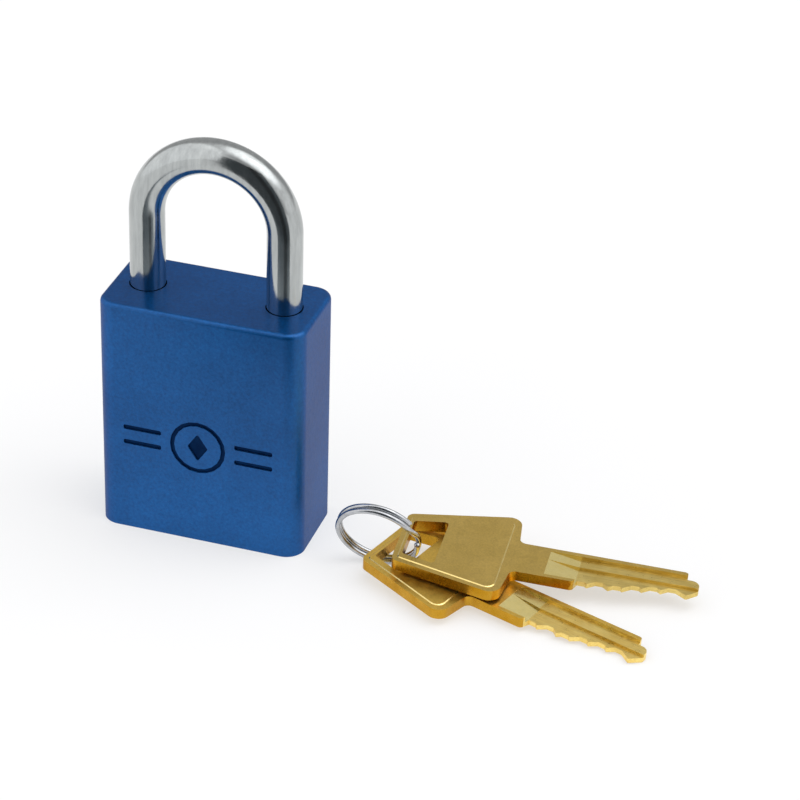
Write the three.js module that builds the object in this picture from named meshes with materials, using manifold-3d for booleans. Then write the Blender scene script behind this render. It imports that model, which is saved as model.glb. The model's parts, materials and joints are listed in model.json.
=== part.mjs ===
// Safety padlock: solid body, steel shackle, key cylinder with six pin pairs, ball locking, and its two keys
// on a split ring. Millimetres, +Z up. The origin is on the flat bottom face, under the axis of the shackle's
// heel leg (its swivel axis); +X runs from the heel leg to the toe leg, and the front face looks along -Y.
import * as THREE from 'three';
import { mergeVertices } from 'three/addons/utils/BufferGeometryUtils.js';
import Module from 'manifold-3d';

const wasm = await Module();
wasm.setup();

// ---- Driving dimensions -----------------------------------------------------------------------------------
const BODY_WIDTH = 38.1;
const BODY_DEPTH = 19.05;
const BODY_HEIGHT = 45.5;
const BODY_CORNER = 3.5;
const BODY_TOP_EDGE = 0.9;

const SHACKLE_DIAMETER = 6.35;
const LEG_SPACING = 25.4;
const SHACKLE_RISE = 27.0;
const SHACKLE_LIFT = 13.5;
const LEG_HOLE_RADIUS = 3.35;

const HEEL_X = 0;
const TOE_X = HEEL_X + LEG_SPACING;
const PLUG_X = HEEL_X + LEG_SPACING / 2;
const SHACKLE_RADIUS = SHACKLE_DIAMETER / 2;

const BALL_RADIUS = 3.175;
const BALL_Z = 37;
const BALL_TRAVEL = 1.42;
const BALL_REST_REACH = 6.23;
const BALL_CHANNEL_RADIUS = 3.3;
const BALL_LOCKED_REACH = BALL_REST_REACH + BALL_TRAVEL;

const KEY_THICKNESS = 2.2;
const BLADE_WIDTH = 8.8;
const BLADE_LENGTH = 32.6;
const KEY_STOP = 5.8;
const CUT_PITCH = 3.15;
const FIRST_CUT = 12.3;
const CUT_ROOTS = [7.0, 6.2, 6.4, 5.4, 4.7, 4.2];
const CUT_FLAT = 1.3;
const CUT_SLOPE = 0.84;

// The blade's milled section: a rim along the spine, two levels that meet at the step, a rim at the far edge.
const SPINE_RIM = 0.85;
const EDGE_RIM = 0.8;
const STEP_Y = 1.0;
const UPPER_LEVEL_DEPTH = 0.7;
const LOWER_LEVEL_DEPTH = 1.15;
const BACK_GROOVE_LOW = 1.9;
const BACK_GROOVE_HIGH = 3.2;
const BACK_GROOVE_DEPTH = 0.5;
const MILL_RAMP = 5.6;

const PLUG_RADIUS = 6.35;
const PLUG_BORE = 6.42;
const PLUG_FRONT = 0.4;
const PLUG_REAR = 28.4;
const HOUSING_RADIUS = 7.95;
const HOUSING_REAR = 26.6;
const PIN_TOWER_REACH = 14.4;
const PIN_TOWER_WIDTH = 8.7;
const CAVITY_CLEARANCE = 0.1;
const CAVITY_TOP = 29;

const PIN_RADIUS = 1.35;
const CHAMBER_RADIUS = 1.42;
const FIRST_CHAMBER_Z = PLUG_FRONT + FIRST_CUT - KEY_STOP;
const KEY_PIN_TOP = 6.1;
const KEY_PIN_TIP = 0.8;
const PIN_BEVEL = 0.25;
const DRIVER_START = 6.5;
const DRIVER_LENGTH = 3.2;

const ROUND = 32;
const FINE = 24;
const SMALL = 12;
const REACH_THROUGH = 2;

// How far a cutter runs past what it cuts, how far joined solids overlap, and the gap of a sliding fit.
const REACH = 1;
const OVERLAP = 0.5;
const PLAY = 0.1;

// ---- Finishes ---------------------------------------------------------------------------------------------
const FINISHES = {
  anodised: { color: 0x1d4f93, roughness: 0.38, metalness: 0.85 },
  chrome: { color: 0xc9ccd0, roughness: 0.12, metalness: 1 },
  brass: { color: 0xb08d45, roughness: 0.35, metalness: 1 },
  steel: { color: 0x9fa3a8, roughness: 0.3, metalness: 1 },
};

// ---- Helpers ----------------------------------------------------------------------------------------------
const padlock = new THREE.Group();

function solid(geometry) {
  const bare = geometry.clone();
  bare.deleteAttribute('normal');
  bare.deleteAttribute('uv');
  const welded = mergeVertices(bare, 1e-4);
  return new wasm.Manifold(new wasm.Mesh({
    numProp: 3,
    vertProperties: Float32Array.from(welded.attributes.position.array),
    triVerts: Uint32Array.from(welded.index.array),
  }));
}

function geometryOf(shape) {
  const mesh = shape.getMesh();
  const geometry = new THREE.BufferGeometry();
  geometry.setAttribute('position', new THREE.BufferAttribute(Float32Array.from(mesh.vertProperties), 3));
  geometry.setIndex(new THREE.BufferAttribute(Uint32Array.from(mesh.triVerts), 1));
  geometry.computeVertexNormals();
  return geometry;
}

function addPart(name, geometry, finish, parent = padlock) {
  const mesh = new THREE.Mesh(geometry, new THREE.MeshStandardMaterial(FINISHES[finish]));
  mesh.name = name;
  parent.add(mesh);
  return mesh;
}

// Upright round bar from zLow to zHigh.
function barZ(radius, zLow, zHigh, x = 0, y = 0, sides = FINE) {
  const geometry = new THREE.CylinderGeometry(radius, radius, zHigh - zLow, sides);
  geometry.rotateX(Math.PI / 2);
  geometry.translate(x, y, (zLow + zHigh) / 2);
  return geometry;
}

// Round bar along X from xLow to xHigh.
function barX(radius, xLow, xHigh, y = 0, z = 0, sides = FINE) {
  const geometry = new THREE.CylinderGeometry(radius, radius, xHigh - xLow, sides);
  geometry.rotateZ(-Math.PI / 2);
  geometry.translate((xLow + xHigh) / 2, y, z);
  return geometry;
}

function block(xLow, xHigh, yLow, yHigh, zLow, zHigh) {
  const geometry = new THREE.BoxGeometry(xHigh - xLow, yHigh - yLow, zHigh - zLow);
  geometry.translate((xLow + xHigh) / 2, (yLow + yHigh) / 2, (zLow + zHigh) / 2);
  return geometry;
}

function ball(radius, x, y, z, across = 20, around = 14) {
  const geometry = new THREE.SphereGeometry(radius, across, around);
  geometry.translate(x, y, z);
  return geometry;
}

// A polygon whose corners are true arcs; each corner is [x, y, radius].
function roundedPolygon(corners, path = new THREE.Shape()) {
  const count = corners.length;
  corners.forEach(([x, y, radius = 0], index) => {
    const before = corners[(index + count - 1) % count];
    const after = corners[(index + 1) % count];
    const inward = new THREE.Vector2(before[0] - x, before[1] - y).normalize();
    const outward = new THREE.Vector2(after[0] - x, after[1] - y).normalize();
    if (radius === 0) {
      if (index === 0) path.moveTo(x, y);
      else path.lineTo(x, y);
      return;
    }
    const half = Math.acos(THREE.MathUtils.clamp(inward.dot(outward), -1, 1)) / 2;
    const tangent = radius / Math.tan(half);
    const start = new THREE.Vector2(x, y).addScaledVector(inward, tangent);
    const end = new THREE.Vector2(x, y).addScaledVector(outward, tangent);
    const middle = inward.clone().add(outward).normalize().multiplyScalar(radius / Math.sin(half));
    const centre = new THREE.Vector2(x, y).add(middle);
    const clockwise = inward.cross(outward) > 0;
    const startAngle = Math.atan2(start.y - centre.y, start.x - centre.x);
    const endAngle = Math.atan2(end.y - centre.y, end.x - centre.x);
    if (index === 0) path.moveTo(start.x, start.y);
    else path.lineTo(start.x, start.y);
    path.absarc(centre.x, centre.y, radius, startAngle, endAngle, clockwise);
  });
  path.closePath();
  return path;
}

function rectangle(xLow, xHigh, yLow, yHigh, radius) {
  return roundedPolygon([
    [xLow, yLow, radius],
    [xHigh, yLow, radius],
    [xHigh, yHigh, radius],
    [xLow, yHigh, radius],
  ]);
}

function prism(shape, zLow, zHigh, curveSegments = 6) {
  const depth = zHigh - zLow;
  const geometry = new THREE.ExtrudeGeometry(shape, { depth, bevelEnabled: false, curveSegments });
  geometry.translate(0, 0, zLow);
  return geometry;
}

// A wire of round section that follows a curve.
function wire(curve, radius, steps, sides) {
  const section = new THREE.Shape();
  section.absarc(0, 0, radius, 0, 2 * Math.PI);
  return new THREE.ExtrudeGeometry(section, { extrudePath: curve, steps, curveSegments: sides / 2 });
}

// A compression spring's centreline around +Z, from zLow to zHigh.
class Helix extends THREE.Curve {
  constructor(radius, zLow, zHigh, turns) {
    super();
    Object.assign(this, { radius, zLow, zHigh, turns });
  }

  getPoint(t, target = new THREE.Vector3()) {
    const angle = 2 * Math.PI * this.turns * t;
    const z = this.zLow + (this.zHigh - this.zLow) * t;
    return target.set(this.radius * Math.cos(angle), this.radius * Math.sin(angle), z);
  }
}

// ---- Body -------------------------------------------------------------------------------------------------
const BODY_LEFT = PLUG_X - BODY_WIDTH / 2;
const BODY_RIGHT = PLUG_X + BODY_WIDTH / 2;
const FRONT_Y = -BODY_DEPTH / 2;
const HEEL_HOLE_FLOOR = 4.5;
const TOE_HOLE_FLOOR = 32;
const ACTUATOR_BORE = 5;
const ACTUATOR_BORE_TOP = 43.2;
const SCREW_X = TOE_X - 0.8;
const SCREW_HOLE_RADIUS = 1.95;
const TOWER_CORNER = 1.2;
const EMBLEM_DEPTH = 0.3;
const EMBLEM_Z = 19.5;
const EMBLEM_RING_OUTER = 5.2;
const EMBLEM_RING_INNER = 4.4;
const EMBLEM_LOZENGE_HALF_WIDTH = 1.9;
const EMBLEM_LOZENGE_HALF_HEIGHT = 2.8;
const EMBLEM_CORNER = 0.3;
const EMBLEM_BAR_START = 6.9;
const EMBLEM_BAR_END = 14;
const EMBLEM_BAR_HEIGHT = 0.9;
const EMBLEM_BAR_OFFSETS = [-1.5, 1.5];

// The cylinder's outline, seen from below: a round shell with a straight pin tower towards the toe leg.
function cylinderOutline(grow) {
  const shell = solid(barZ(HOUSING_RADIUS + grow, -REACH_THROUGH, BODY_HEIGHT, PLUG_X, 0, ROUND));
  const halfTower = PIN_TOWER_WIDTH / 2 + grow;
  const end = PLUG_X + PIN_TOWER_REACH + grow;
  const cornerSegments = 2;
  const tower = solid(prism(rectangle(PLUG_X, end, -halfTower, halfTower, TOWER_CORNER),
    -REACH_THROUGH, BODY_HEIGHT, cornerSegments));
  return shell.add(tower);
}

function sliceZ(shape, zLow, zHigh) {
  const reach = BODY_WIDTH * 2;
  return shape.intersect(solid(block(-reach, reach, -reach, reach, zLow, zHigh)));
}

// A plain roundel round a lozenge, with two bars on each side, pressed into the front face.
function emblem() {
  const ring = new THREE.Shape();
  ring.absarc(0, 0, EMBLEM_RING_OUTER, 0, 2 * Math.PI);
  const opening = new THREE.Path();
  opening.absarc(0, 0, EMBLEM_RING_INNER, 0, 2 * Math.PI, true);
  ring.holes.push(opening);
  const lozenge = roundedPolygon([
    [0, -EMBLEM_LOZENGE_HALF_HEIGHT, EMBLEM_CORNER],
    [EMBLEM_LOZENGE_HALF_WIDTH, 0, EMBLEM_CORNER],
    [0, EMBLEM_LOZENGE_HALF_HEIGHT, EMBLEM_CORNER],
    [-EMBLEM_LOZENGE_HALF_WIDTH, 0, EMBLEM_CORNER],
  ]);
  const halfHeight = EMBLEM_BAR_HEIGHT / 2;
  const bars = EMBLEM_BAR_OFFSETS.flatMap((y) => [
    rectangle(EMBLEM_BAR_START, EMBLEM_BAR_END, y - halfHeight, y + halfHeight, EMBLEM_CORNER),
    rectangle(-EMBLEM_BAR_END, -EMBLEM_BAR_START, y - halfHeight, y + halfHeight, EMBLEM_CORNER),
  ]);
  const ringSegments = 10;
  const cornerSegments = 3;
  let mark = solid(prism(ring, -EMBLEM_DEPTH, REACH, ringSegments));
  [lozenge, ...bars].forEach((shape) => {
    mark = mark.add(solid(prism(shape, -EMBLEM_DEPTH, REACH, cornerSegments)));
  });
  const geometry = geometryOf(mark);
  geometry.rotateX(Math.PI / 2);
  geometry.translate(PLUG_X, FRONT_Y, EMBLEM_Z);
  return solid(geometry);
}

function buildBody() {
  const outline = rectangle(BODY_LEFT, BODY_RIGHT, -BODY_DEPTH / 2, BODY_DEPTH / 2, BODY_CORNER);
  const blank = new THREE.ExtrudeGeometry(outline, {
    depth: BODY_HEIGHT,
    bevelThickness: BODY_TOP_EDGE,
    bevelSize: BODY_TOP_EDGE,
    bevelOffset: -BODY_TOP_EDGE,
    bevelSegments: 4,
    curveSegments: 6,
  });
  blank.translate(0, 0, -BODY_TOP_EDGE);
  const cutters = [
    sliceZ(cylinderOutline(CAVITY_CLEARANCE), -REACH_THROUGH, CAVITY_TOP),
    solid(barZ(LEG_HOLE_RADIUS, HEEL_HOLE_FLOOR, BODY_HEIGHT + REACH_THROUGH, HEEL_X)),
    solid(barZ(LEG_HOLE_RADIUS, TOE_HOLE_FLOOR, BODY_HEIGHT + REACH_THROUGH, TOE_X)),
    solid(barZ(ACTUATOR_BORE, CAVITY_TOP - REACH, ACTUATOR_BORE_TOP, PLUG_X)),
    solid(barX(BALL_CHANNEL_RADIUS, HEEL_X, TOE_X, 0, BALL_Z)),
    solid(barZ(SCREW_HOLE_RADIUS, CAVITY_TOP - REACH, TOE_HOLE_FLOOR + REACH, SCREW_X, 0, SMALL)),
    emblem(),
  ];
  const shape = cutters.reduce((kept, cutter) => kept.subtract(cutter), sliceZ(solid(blank), 0, BODY_HEIGHT));
  addPart('body', geometryOf(shape), 'anodised');
}

// ---- Shackle and its spring -------------------------------------------------------------------------------
const HEEL_FOOT = 19;
const TOE_FOOT = 32.8;
const ARCH_RADIUS = LEG_SPACING / 2;
const ARCH_Z = BODY_HEIGHT + SHACKLE_RISE - ARCH_RADIUS;
const NOTCH_RADIUS = 3.3;
const ARCH_STEPS = 24;
const SHACKLE_SPRING_RADIUS = 2.4;
const SHACKLE_SPRING_WIRE = 0.4;
const SHACKLE_SPRING_GAP = 0.3;
const SHACKLE_SPRING_TURNS = 9;
const SHACKLE_SPRING_STEPS = 90;
const SHACKLE_SPRING_SIDES = 6;

// The shackle's centreline: one step up the heel leg, even steps round the arch, one step down the toe leg.
class ShacklePath extends THREE.Curve {
  getPoint(t, target = new THREE.Vector3()) {
    const step = t * (ARCH_STEPS + 2);
    if (step < 1) return target.set(HEEL_X, 0, THREE.MathUtils.lerp(HEEL_FOOT, ARCH_Z, step));
    const past = step - 1 - ARCH_STEPS;
    if (past > 0) return target.set(TOE_X, 0, THREE.MathUtils.lerp(ARCH_Z, TOE_FOOT, past));
    const angle = Math.PI * (1 - (step - 1) / ARCH_STEPS);
    return target.set(PLUG_X + ARCH_RADIUS * Math.cos(angle), 0, ARCH_Z + ARCH_RADIUS * Math.sin(angle));
  }

  // Steps follow the parameter, not the length along the path.
  getUtoTmapping(u) {
    return u;
  }
}

function buildShackle() {
  const heelNotchX = PLUG_X - BALL_LOCKED_REACH;
  const toeNotchX = PLUG_X + BALL_LOCKED_REACH;
  const neck = new THREE.TorusGeometry(heelNotchX - HEEL_X, NOTCH_RADIUS, SMALL, FINE);
  neck.translate(HEEL_X, 0, BALL_Z - SHACKLE_LIFT);
  const shape = solid(wire(new ShacklePath(), SHACKLE_RADIUS, ARCH_STEPS + 2, FINE))
    .subtract(solid(ball(NOTCH_RADIUS, heelNotchX, 0, BALL_Z)))
    .subtract(solid(ball(NOTCH_RADIUS, toeNotchX, 0, BALL_Z)))
    .subtract(solid(neck));
  addPart('shackle', geometryOf(shape), 'chrome');
}

function buildShackleSpring() {
  const low = HEEL_HOLE_FLOOR + SHACKLE_SPRING_GAP + SHACKLE_SPRING_WIRE;
  const high = HEEL_FOOT - SHACKLE_SPRING_GAP - SHACKLE_SPRING_WIRE;
  const coils = new Helix(SHACKLE_SPRING_RADIUS, low, high, SHACKLE_SPRING_TURNS);
  const spring = wire(coils, SHACKLE_SPRING_WIRE, SHACKLE_SPRING_STEPS, SHACKLE_SPRING_SIDES);
  spring.translate(HEEL_X, 0, 0);
  addPart('shackle_spring', spring, 'steel');
}

// ---- Locking balls and the actuator that spreads them -----------------------------------------------------
const CAM_GAP = 0.06;
const CAM_LOW = BALL_REST_REACH - BALL_RADIUS - CAM_GAP;
const CAM_HIGH = CAM_LOW + BALL_TRAVEL;
const CAM_BOTTOM = 33.3;
const CAM_TOP = 40.7;
const ACTUATOR_BOTTOM = 29.3;
const ACTUATOR_TOP = 42.9;
const DRUM_RADIUS = 4.85;
const TONGUE_WIDTH = 7;
const TONGUE_THICKNESS = 2.4;
const TONGUE_TOP = 31.2;
const SLOT_PLAY = 0.1;
const CAM_RISE_END = 90;
const CAM_FALL_START = 100;
const CAM_FALL_END = 155;
const CAM_STEP = 10;
const BALL_ACROSS = 16;
const BALL_AROUND = 12;

// The cam's radius at an angle in degrees; it repeats every half turn.
function camRadius(degrees) {
  const angle = degrees % 180;
  if (angle <= CAM_RISE_END) return CAM_LOW + BALL_TRAVEL * (angle / CAM_RISE_END);
  if (angle <= CAM_FALL_START) return CAM_HIGH;
  if (angle >= CAM_FALL_END) return CAM_LOW;
  return CAM_HIGH - BALL_TRAVEL * ((angle - CAM_FALL_START) / (CAM_FALL_END - CAM_FALL_START));
}

function buildActuator() {
  const outline = new THREE.Shape();
  for (let degrees = 0; degrees < 360; degrees += CAM_STEP) {
    const angle = THREE.MathUtils.degToRad(degrees);
    const radius = camRadius(degrees);
    if (degrees === 0) outline.moveTo(radius, 0);
    else outline.lineTo(radius * Math.cos(angle), radius * Math.sin(angle));
  }
  outline.closePath();
  const cam = prism(outline, CAM_BOTTOM - OVERLAP, CAM_TOP + OVERLAP);
  cam.translate(PLUG_X, 0, 0);
  const halfWidth = TONGUE_WIDTH / 2 + SLOT_PLAY;
  const halfThick = TONGUE_THICKNESS / 2 + SLOT_PLAY;
  const slot = block(PLUG_X - halfWidth, PLUG_X + halfWidth, -halfThick, halfThick,
    ACTUATOR_BOTTOM - REACH, TONGUE_TOP + 2 * SLOT_PLAY);
  const shape = solid(cam)
    .add(solid(barZ(DRUM_RADIUS, ACTUATOR_BOTTOM, CAM_BOTTOM, PLUG_X)))
    .add(solid(barZ(DRUM_RADIUS, CAM_TOP, ACTUATOR_TOP, PLUG_X)))
    .subtract(solid(slot));
  addPart('actuator', geometryOf(shape), 'brass');
}

function buildBalls() {
  const heelBall = ball(BALL_RADIUS, PLUG_X - BALL_REST_REACH, 0, BALL_Z, BALL_ACROSS, BALL_AROUND);
  const toeBall = ball(BALL_RADIUS, PLUG_X + BALL_REST_REACH, 0, BALL_Z, BALL_ACROSS, BALL_AROUND);
  addPart('locking_ball_heel', heelBall, 'steel');
  addPart('locking_ball_toe', toeBall, 'steel');
}

// ---- Key cylinder -----------------------------------------------------------------------------------------
const CAP_THICKNESS = 0.6;
const CAP_START = 13.65;
const CHAMBER_START = 5;
const CHAMBER_END = 13.55;
const CAP_HALF_WIDTH = 1.6;
const CAP_MARGIN = 2.1;
const CHAMBER_ZS = CUT_ROOTS.map((_, index) => FIRST_CHAMBER_Z + CUT_PITCH * index);
const CAP_LOW = CHAMBER_ZS[0] - CAP_MARGIN;
const CAP_HIGH = CHAMBER_ZS[CHAMBER_ZS.length - 1] + CAP_MARGIN;
const DOG_RADIUS = 1;
const DOG_LOW = 25.7;
const SCREW_LOW = 29.1;
const SCREW_HIGH = 31.4;
const SOCKET_RADIUS = 1;
const SOCKET_LENGTH = 1.4;
const HEXAGON = 6;
const CLIP_LOW = 26.8;
const CLIP_HIGH = 27.6;
const CLIP_GROOVE = 5.3;
const CLIP_OUTER = 7.4;
const CLIP_OPENING = 0.9;

function buildHousing() {
  const recess = 0.2;
  let shape = sliceZ(cylinderOutline(0), PLUG_FRONT, HOUSING_REAR)
    .subtract(solid(barZ(PLUG_BORE, -REACH, CAVITY_TOP, PLUG_X, 0, ROUND)))
    .subtract(solid(block(PLUG_X + CHAMBER_END, TOE_X + PIN_TOWER_REACH, -CAP_HALF_WIDTH - PLAY,
      CAP_HALF_WIDTH + PLAY, CAP_LOW - PLAY, CAP_HIGH + PLAY)))
    .subtract(solid(barZ(DOG_RADIUS + recess, DOG_LOW - recess, CAVITY_TOP, SCREW_X, 0, SMALL)));
  CHAMBER_ZS.forEach((z) => {
    const chamber = barX(CHAMBER_RADIUS, PLUG_X + CHAMBER_START, PLUG_X + CHAMBER_END + PLAY, 0, z, SMALL);
    shape = shape.subtract(solid(chamber));
  });
  addPart('cylinder_housing', geometryOf(shape), 'brass');
}

function buildChamberCap() {
  const start = PLUG_X + CAP_START;
  const cap = block(start, start + CAP_THICKNESS, -CAP_HALF_WIDTH, CAP_HALF_WIDTH, CAP_LOW, CAP_HIGH);
  addPart('pin_chamber_cap', cap, 'steel');
}

function buildScrew() {
  const socket = new THREE.CylinderGeometry(SOCKET_RADIUS, SOCKET_RADIUS, SOCKET_LENGTH, HEXAGON);
  socket.rotateX(Math.PI / 2);
  socket.translate(SCREW_X, 0, SCREW_HIGH);
  const shape = solid(barZ(SCREW_HOLE_RADIUS - PLAY, SCREW_LOW, SCREW_HIGH, SCREW_X, 0, SMALL))
    .add(solid(barZ(DOG_RADIUS, DOG_LOW, SCREW_LOW + OVERLAP, SCREW_X, 0, SMALL)))
    .subtract(solid(socket));
  addPart('retaining_screw', geometryOf(shape), 'steel');
}

// The keyway and the plug's pin chambers lie in the YZ plane, with the key's cuts towards +Y: the plug stands
// at its unlocked angle, a quarter turn from the pin tower.
const KEYWAY_PLAY = 0.2;
const KEYWAY_TOP = 27.6;
const PLUG_CHAMBER_LOW = -1.6;

// The keyway's mouth takes the key's full neck; past it the slot is stepped like the blade, spine towards -Y.
function keywaySolid() {
  const halfBlade = BLADE_WIDTH / 2 + KEYWAY_PLAY;
  const back = PLUG_X - KEY_THICKNESS / 2 - KEYWAY_PLAY;
  const face = PLUG_X + KEY_THICKNESS / 2 + KEYWAY_PLAY;
  const rimEnd = KEYWAY_PLAY + SPINE_RIM - BLADE_WIDTH / 2;
  const stepEnd = KEYWAY_PLAY - STEP_Y;
  return solid(block(back, face, -halfBlade, halfBlade, -REACH, PLUG_FRONT + MILL_RAMP))
    .add(solid(block(back, face, -halfBlade, rimEnd, -REACH, KEYWAY_TOP)))
    .add(solid(block(back, face - UPPER_LEVEL_DEPTH, -halfBlade, stepEnd, -REACH, KEYWAY_TOP)))
    .add(solid(block(back, face - LOWER_LEVEL_DEPTH, -halfBlade, halfBlade, -REACH, KEYWAY_TOP)));
}

function buildPlug() {
  const groove = solid(barZ(PLUG_RADIUS + REACH, CLIP_LOW - PLAY, CLIP_HIGH + PLAY, PLUG_X, 0, ROUND))
    .subtract(solid(barZ(CLIP_GROOVE, CLIP_LOW - REACH, CLIP_HIGH + REACH, PLUG_X)));
  let shape = solid(barZ(PLUG_RADIUS, PLUG_FRONT, PLUG_REAR, PLUG_X, 0, ROUND))
    .add(solid(block(PLUG_X - TONGUE_WIDTH / 2, PLUG_X + TONGUE_WIDTH / 2, -TONGUE_THICKNESS / 2,
      TONGUE_THICKNESS / 2, PLUG_REAR - OVERLAP, TONGUE_TOP)))
    .subtract(keywaySolid())
    .subtract(groove);
  CHAMBER_ZS.forEach((z) => {
    const chamber = barX(CHAMBER_RADIUS, PLUG_CHAMBER_LOW, PLUG_RADIUS + REACH, 0, 0, SMALL);
    chamber.rotateZ(Math.PI / 2);
    chamber.translate(PLUG_X, 0, z);
    shape = shape.subtract(solid(chamber));
  });
  addPart('plug', geometryOf(shape), 'brass');
}

function buildPlugClip() {
  const inner = CLIP_GROOVE + PLAY;
  const roundSegments = 10;
  const clip = new THREE.Shape();
  clip.absarc(PLUG_X, 0, CLIP_OUTER, CLIP_OPENING, 2 * Math.PI - CLIP_OPENING, false);
  clip.absarc(PLUG_X, 0, inner, 2 * Math.PI - CLIP_OPENING, CLIP_OPENING, true);
  clip.closePath();
  addPart('plug_clip', prism(clip, CLIP_LOW, CLIP_HIGH, roundSegments), 'steel');
}

const PIN_SIDES = 10;
const PIN_SPRING_RADIUS = 0.95;
const PIN_SPRING_WIRE = 0.15;
const PIN_SPRING_GAP = 0.15;
const PIN_SPRING_TURNS = 4;
const PIN_SPRING_STEPS = 28;
const PIN_SPRING_SIDES = 4;

// A pin along +Z from low to high, with a chamfer at the top and a cone or a chamfer at the bottom.
function pinGeometry(low, high, tip) {
  const profile = [
    [0, low],
    [PIN_RADIUS - tip, low],
    [PIN_RADIUS, low + tip],
    [PIN_RADIUS, high - PIN_BEVEL],
    [PIN_RADIUS - PIN_BEVEL, high],
    [0, high],
  ];
  const geometry = new THREE.LatheGeometry(profile.map(([r, z]) => new THREE.Vector2(r, z)), PIN_SIDES);
  geometry.rotateX(Math.PI / 2);
  return geometry;
}

function buildPinPairs() {
  const springLow = DRIVER_START + DRIVER_LENGTH + PIN_SPRING_GAP + PIN_SPRING_WIRE;
  const springHigh = CHAMBER_END - PLAY - PIN_SPRING_WIRE;
  const coils = new Helix(PIN_SPRING_RADIUS, springLow, springHigh, PIN_SPRING_TURNS);
  CHAMBER_ZS.forEach((z, index) => {
    const number = index + 1;
    const root = CUT_ROOTS[index] - BLADE_WIDTH / 2;
    const keyPin = pinGeometry(root, KEY_PIN_TOP, KEY_PIN_TIP);
    keyPin.rotateX(-Math.PI / 2);
    keyPin.translate(PLUG_X, 0, z);
    addPart(`key_pin_${number}`, keyPin, 'brass');
    const driver = pinGeometry(DRIVER_START, DRIVER_START + DRIVER_LENGTH, PIN_BEVEL);
    driver.rotateY(Math.PI / 2);
    driver.translate(PLUG_X, 0, z);
    addPart(`driver_pin_${number}`, driver, 'brass');
    const spring = wire(coils, PIN_SPRING_WIRE, PIN_SPRING_STEPS, PIN_SPRING_SIDES);
    spring.rotateY(Math.PI / 2);
    spring.translate(PLUG_X, 0, z);
    addPart(`pin_spring_${number}`, spring, 'steel');
  });
}

// ---- Keys and split ring ----------------------------------------------------------------------------------
// A key lies flat in its own frame: X from the bow to the blade's tip, spine at +Y, origin where the bow
// meets the blade.
const BOW_LENGTH = 20.8;
const BOW_END_HALF = 7.3;
const BOW_FRONT_HALF = 12.2;
const BOW_FRONT_X = -0.9;
const BOW_END_CORNER = 1.4;
const BOW_FRONT_CORNER = 2.2;
const NECK_ROOT_CORNER = 1.3;
const HALF_BLADE = BLADE_WIDTH / 2;
const NECK_END = 11;
const NECK_END_CORNER = 0.8;
const SPINE_END = 30.3;
const SPINE_END_CORNER = 0.6;
const SPINE_STEP_CORNER = 0.1;
const NOSE_TOP_Y = 3.0;
const NOSE_CORNER_Y = 0.7;
const NOSE_PEAK_X = 30.7;
const NOSE_PEAK_Y = -1.1;
const NOSE_TOP_CORNER = 1.5;
const NOSE_LOW_CORNER = 0.7;
const NOSE_PEAK_CORNER = 0.3;
const BOW_RIM = 0.85;
const PANEL_RISE = 0.12;
const PANEL_SLOPE = 0.2;
const PANEL_TAPER = 0.3;
const PANEL_END_CORNER = 0.7;
const PANEL_FRONT_CORNER = 1.6;
const LEVEL_OVERLAP = 0.1;
const MILL_ENTRY = 0.17;
const SLOT_REAR_X = -19.3;
const SLOT_FRONT_X = -13.25;
const SLOT_REAR_HALF = 5.2;
const SLOT_FRONT_HALF = 6.6;
const SLOT_CORNER = 0.7;

// The bitted edge as points from the neck to the tip: flats at the cuts, peaks where two flanks meet.
function bittingPoints() {
  const roots = CUT_ROOTS.map((depth, index) => ({
    x: FIRST_CUT + CUT_PITCH * index,
    y: HALF_BLADE - depth,
  }));
  const half = CUT_FLAT / 2;
  const points = [[NECK_END, -HALF_BLADE, NECK_END_CORNER]];
  roots.forEach(({ x, y }, index) => {
    points.push([x - half, y, 0], [x + half, y, 0]);
    const next = roots[index + 1];
    if (!next) return;
    const gap = CUT_PITCH - CUT_FLAT;
    const fall = (gap + (y - next.y) / CUT_SLOPE) / 2;
    points.push([x + half + fall, y - fall * CUT_SLOPE, 0]);
  });
  return points;
}

function keyOutline() {
  const corners = [
    [-BOW_LENGTH, -BOW_END_HALF, BOW_END_CORNER],
    [BOW_FRONT_X, -BOW_FRONT_HALF, BOW_FRONT_CORNER],
    [0, -HALF_BLADE, NECK_ROOT_CORNER],
    ...bittingPoints(),
    [NOSE_PEAK_X, NOSE_PEAK_Y, NOSE_PEAK_CORNER],
    [BLADE_LENGTH, NOSE_CORNER_Y, NOSE_LOW_CORNER],
    [BLADE_LENGTH, NOSE_TOP_Y, NOSE_TOP_CORNER],
    [SPINE_END, NOSE_TOP_Y, SPINE_STEP_CORNER],
    [SPINE_END, HALF_BLADE, SPINE_END_CORNER],
    [0, HALF_BLADE, NECK_ROOT_CORNER],
    [BOW_FRONT_X, BOW_FRONT_HALF, BOW_FRONT_CORNER],
    [-BOW_LENGTH, BOW_END_HALF, BOW_END_CORNER],
  ];
  return roundedPolygon(corners);
}

function ringSlot() {
  return roundedPolygon([
    [SLOT_REAR_X, -SLOT_REAR_HALF, SLOT_CORNER],
    [SLOT_FRONT_X, -SLOT_FRONT_HALF, SLOT_CORNER],
    [SLOT_FRONT_X, SLOT_FRONT_HALF, SLOT_CORNER],
    [SLOT_REAR_X, SLOT_REAR_HALF, SLOT_CORNER],
  ]);
}

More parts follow.
